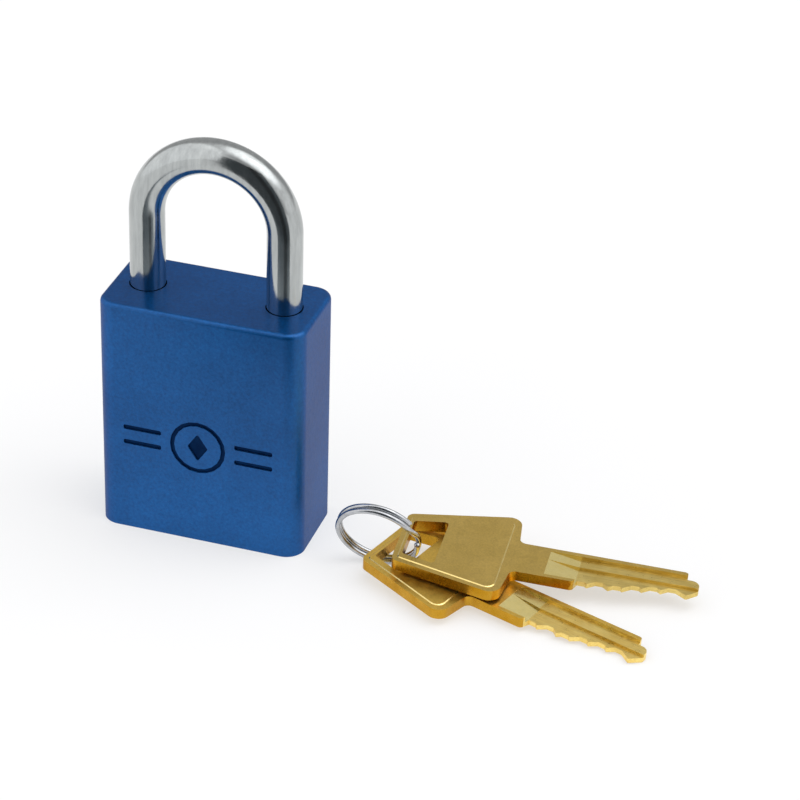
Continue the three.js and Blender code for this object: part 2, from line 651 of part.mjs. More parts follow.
// The bow's flat panels stand a little proud of the rim, the neck and the blade, on both faces.
function bowPanel() {
  const front = BOW_FRONT_X - BOW_RIM;
  const rear = BOW_RIM - BOW_LENGTH;
  const rearHalf = BOW_END_HALF - BOW_RIM;
  const frontHalf = BOW_FRONT_HALF - BOW_RIM - PANEL_TAPER;
  const outline = roundedPolygon([
    [rear, -rearHalf, PANEL_END_CORNER],
    [front, -frontHalf, PANEL_FRONT_CORNER],
    [front, frontHalf, PANEL_FRONT_CORNER],
    [rear, rearHalf, PANEL_END_CORNER],
  ]);
  const geometry = new THREE.ExtrudeGeometry(outline, {
    depth: KEY_THICKNESS - 4 * PANEL_RISE,
    bevelThickness: 2 * PANEL_RISE,
    bevelSize: 2 * PANEL_SLOPE,
    bevelOffset: -PANEL_SLOPE,
    bevelSegments: 1,
    curveSegments: 3,
  });
  geometry.translate(0, 0, 2 * PANEL_RISE);
  return geometry;
}

// A lengthwise level milled between yLow and yHigh; the mill sinks from the face to its depth over the ramp.
function millCut(yLow, yHigh, depth, fromTop) {
  const side = new THREE.Shape();
  side.moveTo(KEY_STOP, REACH);
  side.lineTo(KEY_STOP, -MILL_ENTRY);
  side.lineTo(KEY_STOP + MILL_RAMP, -depth);
  side.lineTo(BLADE_LENGTH + REACH, -depth);
  side.lineTo(BLADE_LENGTH + REACH, REACH);
  side.closePath();
  const geometry = prism(side, -yHigh, -yLow);
  geometry.rotateX(Math.PI / 2);
  if (!fromTop) geometry.scale(1, 1, -1);
  geometry.translate(0, 0, fromTop ? KEY_THICKNESS : 0);
  if (!fromTop) flipFaces(geometry);
  return solid(geometry);
}

// Mirroring turns the triangles inside out; this turns them back.
function flipFaces(geometry) {
  const position = geometry.attributes.position;
  const first = new THREE.Vector3();
  const second = new THREE.Vector3();
  for (let corner = 0; corner < position.count; corner += 3) {
    first.fromBufferAttribute(position, corner);
    second.fromBufferAttribute(position, corner + 1);
    position.setXYZ(corner, second.x, second.y, second.z);
    position.setXYZ(corner + 1, first.x, first.y, first.z);
  }
}

function keySolid() {
  const outlineSegments = 4;
  const cutoutSegments = 3;
  return solid(prism(keyOutline(), PANEL_RISE, KEY_THICKNESS - PANEL_RISE, outlineSegments))
    .add(solid(bowPanel()))
    .subtract(solid(prism(ringSlot(), -REACH, KEY_THICKNESS + REACH, cutoutSegments)))
    .subtract(millCut(STEP_Y - LEVEL_OVERLAP, HALF_BLADE - SPINE_RIM, UPPER_LEVEL_DEPTH, true))
    .subtract(millCut(EDGE_RIM - HALF_BLADE, STEP_Y, LOWER_LEVEL_DEPTH, true))
    .subtract(millCut(BACK_GROOVE_LOW, BACK_GROOVE_HIGH, BACK_GROOVE_DEPTH, false));
}

// Both keys lie in one plane that slopes down to their tips, because the ring passes under the lower bow.
const KEY_PLANE_HEADING = THREE.MathUtils.degToRad(-17);
const RING_END_LIFT = 2.1;
const KEY_TILT = Math.atan(RING_END_LIFT / (BOW_LENGTH + BLADE_LENGTH));
const KEY_FAN = THREE.MathUtils.degToRad(22);
const LOWER_KEY_X = 65.9;
const LOWER_KEY_Y = -10.1;
const UPPER_KEY_X = 1.8;
const UPPER_KEY_Y = 7.5;
const FLOOR_GAP = 0.05;
const KEY_GAP = 0.3;

function buildKeys() {
  const plane = new THREE.Group();
  plane.position.set(LOWER_KEY_X, LOWER_KEY_Y, BLADE_LENGTH * Math.sin(KEY_TILT) + FLOOR_GAP);
  plane.rotation.set(0, KEY_TILT, KEY_PLANE_HEADING, 'ZYX');
  padlock.add(plane);
  const shape = geometryOf(keySolid());
  addPart('key_lower', shape, 'brass', plane);
  const upper = addPart('key_upper', shape.clone(), 'brass', plane);
  upper.position.set(UPPER_KEY_X, UPPER_KEY_Y, KEY_THICKNESS + KEY_GAP);
  upper.rotation.z = KEY_FAN;
}

const RING_RADIUS = 7.3;
const RING_WIRE = 0.5;
const RING_COIL_GAP = 0.05;
const RING_LEAN = THREE.MathUtils.degToRad(-68.8);
const RING_X = 46;
const RING_Y = -7.7;
const RING_STEP_ANGLE = 0.6;
const RING_STEPS = 72;
const RING_SIDES = 8;

// The split ring's wire: a lower coil, a short climb, and an upper coil that ends where the climb starts.
class SplitRing extends THREE.Curve {
  getPoint(t, target = new THREE.Vector3()) {
    const sweep = 4 * Math.PI - RING_STEP_ANGLE;
    const angle = sweep * t;
    const climb = (angle - (2 * Math.PI - RING_STEP_ANGLE)) / RING_STEP_ANGLE;
    const eased = THREE.MathUtils.smoothstep(climb, 0, 1);
    const offset = (eased - 0.5) * (2 * RING_WIRE + RING_COIL_GAP);
    return target.set(RING_RADIUS * Math.cos(angle), RING_RADIUS * Math.sin(angle), offset);
  }
}

function buildRing() {
  const ring = addPart('key_ring', wire(new SplitRing(), RING_WIRE, RING_STEPS, RING_SIDES), 'steel');
  const reach = RING_RADIUS + RING_WIRE;
  const halfStack = 2 * RING_WIRE + RING_COIL_GAP;
  const height = reach * Math.abs(Math.sin(RING_LEAN)) + halfStack * Math.cos(RING_LEAN);
  ring.position.set(RING_X, RING_Y, height);
  ring.rotation.set(RING_LEAN, 0, 0);
}

buildBody();
buildShackle();
buildShackleSpring();
buildBalls();
buildActuator();
buildHousing();
buildChamberCap();
buildScrew();
buildPlug();
buildPlugClip();
buildPinPairs();
buildKeys();
buildRing();

export default padlock;
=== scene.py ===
"""Looks of the safety padlock: anodised body, chromed shackle, and two brass keys on a split ring."""
import json
import math

import bmesh
import bpy
from mathutils import Matrix, Vector


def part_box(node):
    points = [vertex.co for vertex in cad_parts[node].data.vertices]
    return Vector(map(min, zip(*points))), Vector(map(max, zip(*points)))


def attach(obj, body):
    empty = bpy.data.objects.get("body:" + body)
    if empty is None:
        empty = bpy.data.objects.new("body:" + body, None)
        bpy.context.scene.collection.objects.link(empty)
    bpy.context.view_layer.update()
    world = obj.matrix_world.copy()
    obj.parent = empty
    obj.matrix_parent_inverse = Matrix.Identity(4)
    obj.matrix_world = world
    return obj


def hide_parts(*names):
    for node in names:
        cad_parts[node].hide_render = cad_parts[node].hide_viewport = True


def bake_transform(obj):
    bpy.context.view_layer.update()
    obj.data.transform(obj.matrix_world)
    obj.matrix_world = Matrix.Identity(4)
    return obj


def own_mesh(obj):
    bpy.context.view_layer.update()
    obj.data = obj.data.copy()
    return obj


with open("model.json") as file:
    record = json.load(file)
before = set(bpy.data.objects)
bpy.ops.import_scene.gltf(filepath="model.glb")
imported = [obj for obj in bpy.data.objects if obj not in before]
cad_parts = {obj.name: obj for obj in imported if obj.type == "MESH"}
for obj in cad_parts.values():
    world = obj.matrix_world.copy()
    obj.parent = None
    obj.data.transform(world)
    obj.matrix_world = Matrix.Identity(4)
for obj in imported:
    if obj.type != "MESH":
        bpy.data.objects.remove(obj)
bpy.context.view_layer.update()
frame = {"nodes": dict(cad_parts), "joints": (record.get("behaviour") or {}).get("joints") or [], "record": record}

MM = 0.001

# ---- Places and sizes taken from the frame -------------------------------------------------------
NODES = frame["nodes"]
JOINTS = {joint["name"]: joint for joint in frame["joints"]}
BODY_LOW, BODY_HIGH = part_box("body")
SHACKLE_LOW, SHACKLE_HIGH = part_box("shackle")
RING_LOW, RING_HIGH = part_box("key_ring")
BALL_LOW, BALL_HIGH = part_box("locking_ball_toe")
PLUG_X = (BODY_LOW.x + BODY_HIGH.x) / 2
TOEWARD = Vector((1, 0, 0))
BACKWARD = Vector((0, 1, 0))
UPWARD = Vector((0, 0, 1))

WELD_DISTANCE = 0.002 * MM
FLAT_ANGLE = math.radians(1.0)
EDGE_SEGMENTS = 2
FLAT_FACE_WEIGHT = 100


# ---- Mesh helpers --------------------------------------------------------------------------------
def new_object(name, mesh):
    obj = bpy.data.objects.new(name, mesh)
    bpy.context.scene.collection.objects.link(obj)
    return obj


def object_from(bm, name):
    mesh = bpy.data.meshes.new(name)
    bm.normal_update()
    bm.to_mesh(mesh)
    bm.free()
    for polygon in mesh.polygons:
        polygon.use_smooth = True
    return new_object(name, mesh)


def paint(obj, *materials):
    if obj.data.materials:
        obj.data.materials.clear()
    for material in materials:
        obj.data.materials.append(material)


def welded_copy(node):
    """A bmesh of a CAD node with its seams closed and its flat areas joined into single faces."""
    bm = bmesh.new()
    bm.from_mesh(NODES[node].data)
    bmesh.ops.remove_doubles(bm, verts=bm.verts, dist=WELD_DISTANCE)
    bmesh.ops.dissolve_limit(bm, angle_limit=FLAT_ANGLE, verts=bm.verts, edges=bm.edges)
    bm.normal_update()
    return bm


def soften(obj, width, angle):
    """Round the sharp edges a little and keep the flat faces shading flat."""
    bevel = obj.modifiers.new("edges", "BEVEL")
    bevel.width = width
    bevel.segments = EDGE_SEGMENTS
    bevel.limit_method = "ANGLE"
    bevel.angle_limit = angle
    bevel.use_clamp_overlap = True
    normals = obj.modifiers.new("flat_faces", "WEIGHTED_NORMAL")
    normals.mode = "FACE_AREA"
    normals.weight = FLAT_FACE_WEIGHT
    normals.keep_sharp = True


def frames_along(points):
    """A tangent and a turning-free normal at each point of a path."""
    tangents = []
    for index in range(len(points)):
        before = points[max(index - 1, 0)]
        after = points[min(index + 1, len(points) - 1)]
        tangents.append((after - before).normalized())
    normal = tangents[0].orthogonal().normalized()
    frames = []
    for tangent in tangents:
        normal = (normal - tangent * normal.dot(tangent)).normalized()
        frames.append((tangent, normal, tangent.cross(normal)))
    return frames


# Each ring of a wire's domed end: how far it stands out past the end, and how wide it is, in wire radii.
DOME_RINGS = ((0.3, 0.8), (0.55, 0.45))


def sweep(name, points, radius, sides):
    """A round wire along a path, with domed ends."""
    bm = bmesh.new()
    rings = []
    frames = frames_along(points)
    last = len(points) - 1
    stations = [(0, -push, share) for push, share in reversed(DOME_RINGS)]
    stations += [(index, 0.0, 1.0) for index in range(len(points))]
    stations += [(last, push, share) for push, share in DOME_RINGS]
    for index, push, share in stations:
        tangent, side, up = frames[index]
        centre = points[index] + tangent * (push * radius)
        ring = []
        for step in range(sides):
            angle = 2 * math.pi * step / sides
            offset = side * math.cos(angle) + up * math.sin(angle)
            ring.append(bm.verts.new(centre + offset * (radius * share)))
        rings.append(ring)
    for first, second in zip(rings, rings[1:]):
        for step in range(sides):
            after = (step + 1) % sides
            bm.faces.new((first[step], first[after], second[after], second[step]))
    bm.faces.new(list(reversed(rings[0])))
    bm.faces.new(rings[-1])
    return object_from(bm, name)


# ---- Material helpers ----------------------------------------------------------------------------
NOISE_MIDDLE = (0.3, 0.7)


class Nodes:
    """A material's node tree, with short calls for the nodes used here."""

    def __init__(self, name):
        self.material = bpy.data.materials.new(name)
        self.material.use_nodes = True
        self.tree = self.material.node_tree
        self.shader = self.tree.nodes["Principled BSDF"]
        self.place = self.tree.nodes.new("ShaderNodeTexCoord").outputs["Object"]

    def link(self, source, target):
        self.tree.links.new(source, target)

    def mapped(self, stretch, heading):
        """The place, with the texture stretched and then turned about Z."""
        node = self.tree.nodes.new("ShaderNodeMapping")
        node.vector_type = "TEXTURE"
        node.inputs["Rotation"].default_value = (0, 0, heading)
        node.inputs["Scale"].default_value = stretch
        self.link(self.place, node.inputs["Vector"])
        return node.outputs["Vector"]

    def noise(self, scale, detail=3.0, roughness=0.55, stretch=None, heading=0.0):
        node = self.tree.nodes.new("ShaderNodeTexNoise")
        node.inputs["Scale"].default_value = scale
        node.inputs["Detail"].default_value = detail
        node.inputs["Roughness"].default_value = roughness
        self.link(self.mapped(stretch, heading) if stretch else self.place, node.inputs["Vector"])
        return node.outputs["Fac"]

    def ramp(self, source, low, high):
        """A colour between two, as a noise goes through its middle range."""
        node = self.tree.nodes.new("ShaderNodeValToRGB")
        first, second = node.color_ramp.elements
        first.position, second.position = NOISE_MIDDLE
        first.color, second.color = low, high
        self.link(source, node.inputs["Fac"])
        return node.outputs["Color"]

    def span(self, source, low, high, start=NOISE_MIDDLE[0], end=NOISE_MIDDLE[1]):
        """A number between two, as the source goes from start to end."""
        node = self.tree.nodes.new("ShaderNodeMapRange")
        node.inputs["From Min"].default_value = start
        node.inputs["From Max"].default_value = end
        node.inputs["To Min"].default_value = low
        node.inputs["To Max"].default_value = high
        self.link(source, node.inputs["Value"])
        return node.outputs["Result"]

    def scaled(self, colour, factor):
        """The colour times a number."""
        node = self.tree.nodes.new("ShaderNodeVectorMath")
        node.operation = "SCALE"
        self.link(colour, node.inputs[0])
        self.link(factor, node.inputs["Scale"])
        return node.outputs["Vector"]

    def bump(self, source, strength, distance, normal=None):
        node = self.tree.nodes.new("ShaderNodeBump")
        node.inputs["Strength"].default_value = strength
        node.inputs["Distance"].default_value = distance
        self.link(source, node.inputs["Height"])
        if normal:
            self.link(normal, node.inputs["Normal"])
        return node.outputs["Normal"]

    def set(self, **values):
        for name, value in values.items():
            self.shader.inputs[name.replace("_", " ")].default_value = value

    def drive(self, socket, source):
        self.link(source, self.shader.inputs[socket])


def rgb(red, green, blue):
    return (red, green, blue, 1.0)


SPECKLE_TO_GRAIN = 0.8
WEAR_TO_BLOTCH = 3


def metal(name, low, high, roughness, grain, depth, stretch=None, blotch=140, speck=0.05, heading=0.0):
    """A metal that drifts between two tones, with fine specks and a grain of the given scale and depth."""
    nodes = Nodes(name)
    nodes.set(Metallic=1.0)
    drift = nodes.ramp(nodes.noise(blotch), low, high)
    specks = nodes.noise(grain * SPECKLE_TO_GRAIN, 3.0, 0.7, stretch, heading)
    speckle = nodes.span(specks, 1 - speck, 1 + speck)
    nodes.drive("Base Color", nodes.scaled(drift, speckle))
    wear = nodes.noise(blotch * WEAR_TO_BLOTCH, detail=4.0)
    nodes.drive("Roughness", nodes.span(wear, *roughness))
    lines = nodes.noise(grain, 4.0, 0.6, stretch, heading)
    nodes.drive("Normal", nodes.bump(lines, strength=0.5, distance=depth))
    return nodes.material


def anodised_blue():
    nodes = Nodes("anodised_blue")
    nodes.set(Metallic=1.0, Coat_Weight=0.42, Coat_Roughness=0.25, Coat_IOR=1.5,
              Specular_Tint=rgb(0.25, 0.28, 0.30))
    dye = nodes.noise(scale=55, detail=3.0)
    drift = nodes.ramp(dye, low=rgb(0.003, 0.080, 0.272), high=rgb(0.006, 0.108, 0.352))
    specks = nodes.noise(scale=1700, detail=4.0, roughness=0.7)
    nodes.drive("Base Color", nodes.scaled(drift, nodes.span(specks, low=0.82, high=1.18)))
    blast = nodes.noise(scale=900, detail=3.0)
    nodes.drive("Roughness", nodes.span(blast, low=0.44, high=0.56))
    fine = nodes.noise(scale=5200, detail=3.0, roughness=0.6)
    grain = nodes.bump(fine, strength=0.5, distance=0.03 * MM)
    coarse = nodes.noise(scale=1500, detail=2.0)
    nodes.drive("Normal", nodes.bump(coarse, strength=0.2, distance=0.05 * MM, normal=grain))
    return nodes.material


def pressed_blue():
    """The matt floor of the pressed mark."""
    return metal("pressed_blue", low=rgb(0.002, 0.014, 0.055), high=rgb(0.003, 0.024, 0.085),
                 roughness=(0.42, 0.55), grain=2600, depth=0.03 * MM, blotch=500)


def chrome():
    """Plated over drawn bar, so its grain runs up the legs."""
    return metal("chrome", low=rgb(0.40, 0.42, 0.42), high=rgb(0.45, 0.47, 0.465), roughness=(0.11, 0.19),
                 grain=1300, depth=0.016 * MM, stretch=(1, 1, 10), speck=0.12)


def key_face(name, low, high):
    return metal(name, low, high, roughness=(0.28, 0.40), grain=3600, depth=0.03 * MM, blotch=200, speck=0.12)


# The sides: orange brass with blanking streaks, made darker than the faces as painted shade.
def shaded_key_edge():
    return metal("key_edge_shaded_brass", low=rgb(0.50, 0.25, 0.012), high=rgb(0.60, 0.33, 0.035),
                 roughness=(0.22, 0.34), grain=1500, depth=0.03 * MM, stretch=(1, 1, 8), blotch=300,
                 speck=0.03)


def key_milled(name, low, high, heading):
    """Mill marks run along the blade."""
    return metal(name, low, high, roughness=(0.26, 0.38), grain=4200, depth=0.008 * MM, stretch=(25, 1, 1),
                 blotch=300, speck=0.16, heading=heading)


def key_rubbed_highlight():
    """Ridges rubbed bright, and lighter still as a painted highlight."""
    return metal("key_rubbed_highlight_brass", low=rgb(0.78, 0.58, 0.20), high=rgb(0.90, 0.71, 0.30),
                 roughness=(0.18, 0.28), grain=2600, depth=0.01 * MM, blotch=500)


def key_ramp_highlight():
    """Where the mill ran out of the blade: milled brass made paler still as a painted highlight."""
    return metal("key_ramp_highlight_brass", low=rgb(0.93, 0.75, 0.28), high=rgb(0.99, 0.83, 0.35),
                 roughness=(0.18, 0.26), grain=2600, depth=0.015 * MM, blotch=400, speck=0.02)


def turned_brass(name):
    return metal(name, low=rgb(0.60, 0.43, 0.15), high=rgb(0.74, 0.55, 0.22), roughness=(0.22, 0.34),
                 grain=2400, depth=0.01 * MM)


def ring_steel():
    return metal("ring_nickel", low=rgb(0.40, 0.41, 0.43), high=rgb(0.56, 0.57, 0.58),
                 roughness=(0.16, 0.28), grain=2600, depth=0.008 * MM, blotch=600)


def spring_steel():
    return metal("spring_steel", low=rgb(0.36, 0.37, 0.38), high=rgb(0.50, 0.50, 0.52),
                 roughness=(0.2, 0.34), grain=2200, depth=0.006 * MM)


def ball_steel():
    return metal("ball_steel", low=rgb(0.66, 0.67, 0.69), high=rgb(0.72, 0.73, 0.75),
                 roughness=(0.06, 0.12), grain=1800, depth=0.002 * MM)


# ---- Body ----------------------------------------------------------------------------------------
MARK_DEPTH = 0.3 * MM
MARK_HALF_WIDTH = 14.5 * MM
FACES_FRONT = -0.9


def make_body():
    """The body, with the floor of the pressed mark a darker, matt blue."""
    bm = welded_copy("body")
    for face in bm.faces:
        centre = face.calc_center_median()
        depth = centre.y - BODY_LOW.y
        in_mark = abs(centre.x - PLUG_X) < MARK_HALF_WIDTH and 0.5 * MARK_DEPTH < depth < 1.5 * MARK_DEPTH
        if in_mark and face.normal.y < FACES_FRONT:
            face.material_index = 1
    obj = object_from(bm, "padlock_body")
    soften(obj, width=0.1 * MM, angle=math.radians(35))
    paint(obj, anodised_blue(), pressed_blue())
    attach(obj, "padlock")
    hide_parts("body")


# ---- Shackle -------------------------------------------------------------------------------------
BAR = (SHACKLE_HIGH.y - SHACKLE_LOW.y) / 2
HEEL_X = SHACKLE_LOW.x + BAR
TOE_X = SHACKLE_HIGH.x - BAR
ARCH_RADIUS = (TOE_X - HEEL_X) / 2
ARCH_Z = SHACKLE_HIGH.z - BAR - ARCH_RADIUS
TOE_FOOT_BELOW_BALL = 1.025 * MM
TOE_FOOT = BALL_LOW.z - TOE_FOOT_BELOW_BALL
BALL_Z = (BALL_HIGH.z + BALL_LOW.z) / 2
NOTCH_RADIUS = 3.3 * MM
NOTCH_OFFSET = 5.05 * MM
NECK_DROP = JOINTS["shackle_lift"]["range_m"][1]
FOOT_CHAMFER = 0.6 * MM
LEAST_RADIUS = 0.2 * MM
CUT_HALF_HEIGHT = 2.9 * MM
CUT_STEPS = 30
PLAIN_STEP = 2 * MM
PLAIN_STEPS_BELOW_TOP = 3
PLAIN_STEPS_ABOVE_TOP = 5
ARCH_GAP = 0.5 * MM
BAR_SIDES = 64
ARCH_STEPS = 64


def bar_radius(foot, height, turn, has_neck):
    """How far the leg's surface is from its axis: chamfered foot, ball notch, and the heel's neck groove.

    The turn is measured from the side that faces away from the other leg, and the notch is opposite to it.
    """
    radius = BAR
    edge = height - foot
    if edge < FOOT_CHAMFER:
        radius = BAR - (FOOT_CHAMFER - edge)
    if has_neck:
        drop = height - (BALL_Z - NECK_DROP)
        if abs(drop) < NOTCH_RADIUS:
            radius = min(radius, NOTCH_OFFSET - math.sqrt(NOTCH_RADIUS ** 2 - drop ** 2))
    rise = height - BALL_Z
    angle = turn - math.pi
    inside = NOTCH_RADIUS ** 2 - (NOTCH_OFFSET * math.sin(angle)) ** 2 - rise ** 2
    if inside > 0 and math.cos(angle) > 0:
        radius = min(radius, NOTCH_OFFSET * math.cos(angle) - math.sqrt(inside))
    return max(radius, LEAST_RADIUS)


def leg_heights(foot, has_neck):
    """Close steps where the leg is cut, wide steps elsewhere."""
    heights = [foot, foot + FOOT_CHAMFER / 2, foot + FOOT_CHAMFER]
    middles = [BALL_Z - NECK_DROP, BALL_Z] if has_neck else [BALL_Z]
    for middle in middles:
        low = middle - CUT_HALF_HEIGHT
        high = middle + CUT_HALF_HEIGHT
        heights += [low + (high - low) * step / CUT_STEPS for step in range(CUT_STEPS + 1)]
    plain_steps = range(-PLAIN_STEPS_BELOW_TOP, PLAIN_STEPS_ABOVE_TOP + 1)
    heights += [BODY_HIGH.z + PLAIN_STEP * step for step in plain_steps]
    return sorted(height for height in heights if foot <= height < ARCH_Z - ARCH_GAP)


def make_shackle():
    """One bar as rings of points: up the heel leg, round the arch and down the toe leg."""
    bm = bmesh.new()
    rings = []

    def add_ring(centre, outward, radius_at):
        ring = []
        for step in range(BAR_SIDES):
            angle = 2 * math.pi * step / BAR_SIDES
            offset = outward * math.cos(angle) + BACKWARD * math.sin(angle)
            ring.append(bm.verts.new(centre + offset * radius_at(angle)))
        rings.append(ring)

    for height in leg_heights(SHACKLE_LOW.z, True):
        add_ring(Vector((HEEL_X, 0, height)), -TOEWARD,
                 lambda angle: bar_radius(SHACKLE_LOW.z, height, angle, True))
    for step in range(ARCH_STEPS + 1):
        turn = math.pi * (1 - step / ARCH_STEPS)
        outward = Vector((math.cos(turn), 0, math.sin(turn)))
        add_ring(Vector((PLUG_X, 0, ARCH_Z)) + outward * ARCH_RADIUS, outward, lambda angle: BAR)
    for height in reversed(leg_heights(TOE_FOOT, False)):
        add_ring(Vector((TOE_X, 0, height)), TOEWARD,
                 lambda angle: bar_radius(TOE_FOOT, height, angle, False))
    for first, second in zip(rings, rings[1:]):
        for step in range(BAR_SIDES):
            after = (step + 1) % BAR_SIDES
            bm.faces.new((first[after], first[step], second[step], second[after]))
    bm.faces.new(rings[0])
    bm.faces.new(list(reversed(rings[-1])))
    bmesh.ops.recalc_face_normals(bm, faces=bm.faces)
    obj = object_from(bm, "chromed_shackle")
    paint(obj, chrome())
    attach(obj, "shackle")
    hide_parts("shackle")


# ---- Keys ----------------------------------------------------------------------------------------
KEY_HEADINGS = {"key_lower": math.radians(-17), "key_upper": math.radians(5)}
BLADE_CUTS_LENGTH = 21.4 * MM
FACE, SHADED_EDGE, MILLED, RUBBED_HIGHLIGHT, RAMP_HIGHLIGHT = range(5)
# How nearly a side, a ridge rubbed bright and lit by a painted highlight, and a mill ramp may face the way the
# key's flat does, which counts as 1.
SIDE_FACING = 0.5
RIDGE_FACING = 0.95
RAMP_FACING = 0.996
CUT_ACROSS = 0.6
MILLED_DEPTH = 0.3 * MM


def key_finish(face, square, along, top, bottom, cuts_start):
    """Which brass a face of the key gets, from where it looks and how deep it lies. Sides get a darker brass as
    painted shade; ridges and the mill ramp get a lighter brass, partly as a painted highlight.
    """
    across = square.cross(along)
    centre = face.calc_center_median()
    facing = abs(face.normal.dot(square))
    depth = min(top - centre.dot(square), centre.dot(square) - bottom)
    if facing < SIDE_FACING:
        is_cut = centre.dot(along) > cuts_start and face.normal.dot(across) < CUT_ACROSS
        return MILLED if is_cut else SHADED_EDGE
    if facing < RIDGE_FACING:
        return RUBBED_HIGHLIGHT
    if facing < RAMP_FACING:
        return RAMP_HIGHLIGHT
    return MILLED if depth > MILLED_DEPTH else FACE


def make_key(node):
    square = Vector(JOINTS[node + "_fan"]["axis"]).normalized()
    heading = KEY_HEADINGS[node]
    along = Vector((math.cos(heading), math.sin(heading), 0))
    bm = welded_copy(node)
    levels = [vert.co.dot(square) for vert in bm.verts]
    cuts_start = max(vert.co.dot(along) for vert in bm.verts) - BLADE_CUTS_LENGTH
    for face in bm.faces:
        face.material_index = key_finish(face, square, along, max(levels), min(levels), cuts_start)
    obj = object_from(bm, "brass_" + node)
    for polygon in obj.data.polygons:
        polygon.use_smooth = polygon.material_index not in (RUBBED_HIGHLIGHT, RAMP_HIGHLIGHT)
    soften(obj, width=0.11 * MM, angle=math.radians(40))
    # The rounded edges take the lighter brass too, partly as a painted highlight.
    obj.modifiers["edges"].material = RUBBED_HIGHLIGHT
    return obj


def make_keys():
    pale = key_face("key_face_brass", rgb(0.60, 0.415, 0.105), rgb(0.66, 0.46, 0.125))
    warm = key_face("key_face_warm_brass", rgb(0.74, 0.48, 0.085), rgb(0.82, 0.54, 0.11))
    pale_milled = key_milled("key_milled_brass", rgb(0.70, 0.51, 0.145), rgb(0.82, 0.63, 0.21),
                             KEY_HEADINGS["key_upper"])
    warm_milled = key_milled("key_milled_warm_brass", rgb(0.90, 0.64, 0.17), rgb(0.99, 0.75, 0.25),
                             KEY_HEADINGS["key_lower"])
    edge, rubbed_highlight, ramp = shaded_key_edge(), key_rubbed_highlight(), key_ramp_highlight()
    for node, body, face, milled in (
        ("key_lower", "lower_key", warm, warm_milled),
        ("key_upper", "upper_key", pale, pale_milled),
    ):
        obj = make_key(node)
        paint(obj, face, edge, milled, rubbed_highlight, ramp)
        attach(obj, body)
        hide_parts(node)


# ---- Split ring ----------------------------------------------------------------------------------
RING_LEAN = math.radians(-68.8)
RING_WIRE = 0.5 * MM
RING_COIL_GAP = 0.05 * MM
RING_STEP_ANGLE = 0.6
RING_STEPS = 260
RING_SIDES = 20


def make_ring():
    """Two coils of wire side by side, the wire stepping across from one to the other halfway."""
    centre = (RING_LOW + RING_HIGH) / 2
    radius = (RING_HIGH.x - RING_LOW.x) / 2 - RING_WIRE
    lean = Matrix.Rotation(RING_LEAN, 3, "X")
    points = []
    for step in range(RING_STEPS + 1):
        angle = (4 * math.pi - RING_STEP_ANGLE) * step / RING_STEPS
        climb = (angle - (2 * math.pi - RING_STEP_ANGLE)) / RING_STEP_ANGLE
        climb = min(max(climb, 0.0), 1.0)
        eased = climb * climb * (3 - 2 * climb)
        offset = (eased - 0.5) * (2 * RING_WIRE + RING_COIL_GAP)
        points.append(centre + lean @ Vector((radius * math.cos(angle), radius * math.sin(angle), offset)))
    obj = sweep("split_ring", points, RING_WIRE, RING_SIDES)
    paint(obj, ring_steel())
    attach(obj, "key_ring")
    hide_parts("key_ring")


# ---- Springs -------------------------------------------------------------------------------------
SHACKLE_SPRING_WIRE = 0.4 * MM
SHACKLE_SPRING_TURNS = 9
PIN_SPRING_WIRE = 0.15 * MM
PIN_SPRING_TURNS = 4
PIN_COUNT = 6
SPRING_STEPS_PER_TURN = 24
SPRING_SIDES = 10


def make_spring(node, along, wire, turns, steel):
    """A coil spring in the CAD one's place, with a closed turn at each end."""
    low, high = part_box(node)
    radius = (high.y - low.y) / 2 - wire
    up = along.cross(BACKWARD)
    length = (high - low).dot(along) - 2 * wire
    start = (low + high) / 2 - along * length / 2
    closed_pitch = 2 * wire
    open_turns = turns - 2
    open_pitch = (length - 2 * closed_pitch) / open_turns
    points = []
    for step in range(turns * SPRING_STEPS_PER_TURN + 1):
        turn = step / SPRING_STEPS_PER_TURN
        opened = min(max(turn - 1, 0), open_turns)
        climb = (turn - opened) * closed_pitch + opened * open_pitch
        angle = 2 * math.pi * turn
        outward = BACKWARD * math.cos(angle) + up * math.sin(angle)
        points.append(start + along * climb + outward * radius)
    obj = sweep("coiled_" + node, points, wire, SPRING_SIDES)
    paint(obj, steel)
    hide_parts(node)
    return obj


def make_springs(steel):
    """The shackle's spring stretches as the shackle lifts. A pin spring shortens as its driver moves."""
    spring = make_spring("shackle_spring", UPWARD, SHACKLE_SPRING_WIRE, SHACKLE_SPRING_TURNS, steel)
    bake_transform(spring)
    for number in range(1, PIN_COUNT + 1):
        node = f"pin_spring_{number}"
        spring = make_spring(node, TOEWARD, PIN_SPRING_WIRE, PIN_SPRING_TURNS, steel)
        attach(spring, "padlock")
        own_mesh(spring)


# ---- Inner parts ---------------------------------------------------------------------------------
def finish_inner_parts(steel):
    """The CAD pieces that stay as they are get fine edges and a finish by their slot."""
    finishes = {
        "cylinder_brass": turned_brass("turned_brass"),
        "pin_brass": turned_brass("pin_brass"),
        "spring_steel": steel,
        "ball_steel": ball_steel(),
    }
    for entry in frame["record"]["subparts"]:
        material = finishes.get(entry["material_slot"])
        obj = NODES[entry["node"]]
        if material is None or obj.hide_render:
            continue
        paint(obj, material)
        weld = obj.modifiers.new("weld", "WELD")
        weld.merge_threshold = WELD_DISTANCE
        if "ball" not in entry["node"]:
            soften(obj, width=0.06 * MM, angle=math.radians(35))


# ---- Studio --------------------------------------------------------------------------------------
# The camera is turned, tipped and rolled, in radians, from a level look along +Y at the target. It is then
# shifted to its own right and up, and its focal length is in pixels of the frame.
CAMERA_TARGET = Vector((PLUG_X, 0, 35 * MM))
CAMERA_YAW = 0.29364
CAMERA_PITCH = 0.54492
CAMERA_ROLL = 0.03123
CAMERA_DISTANCE = 563.8 * MM
CAMERA_RIGHT = 32.44 * MM
CAMERA_UP = -9.42 * MM
CAMERA_FOCAL = 3195.1
CAMERA_NEAR = 0.01
FRAME_PIXELS = 800
SENSOR_MM = 36


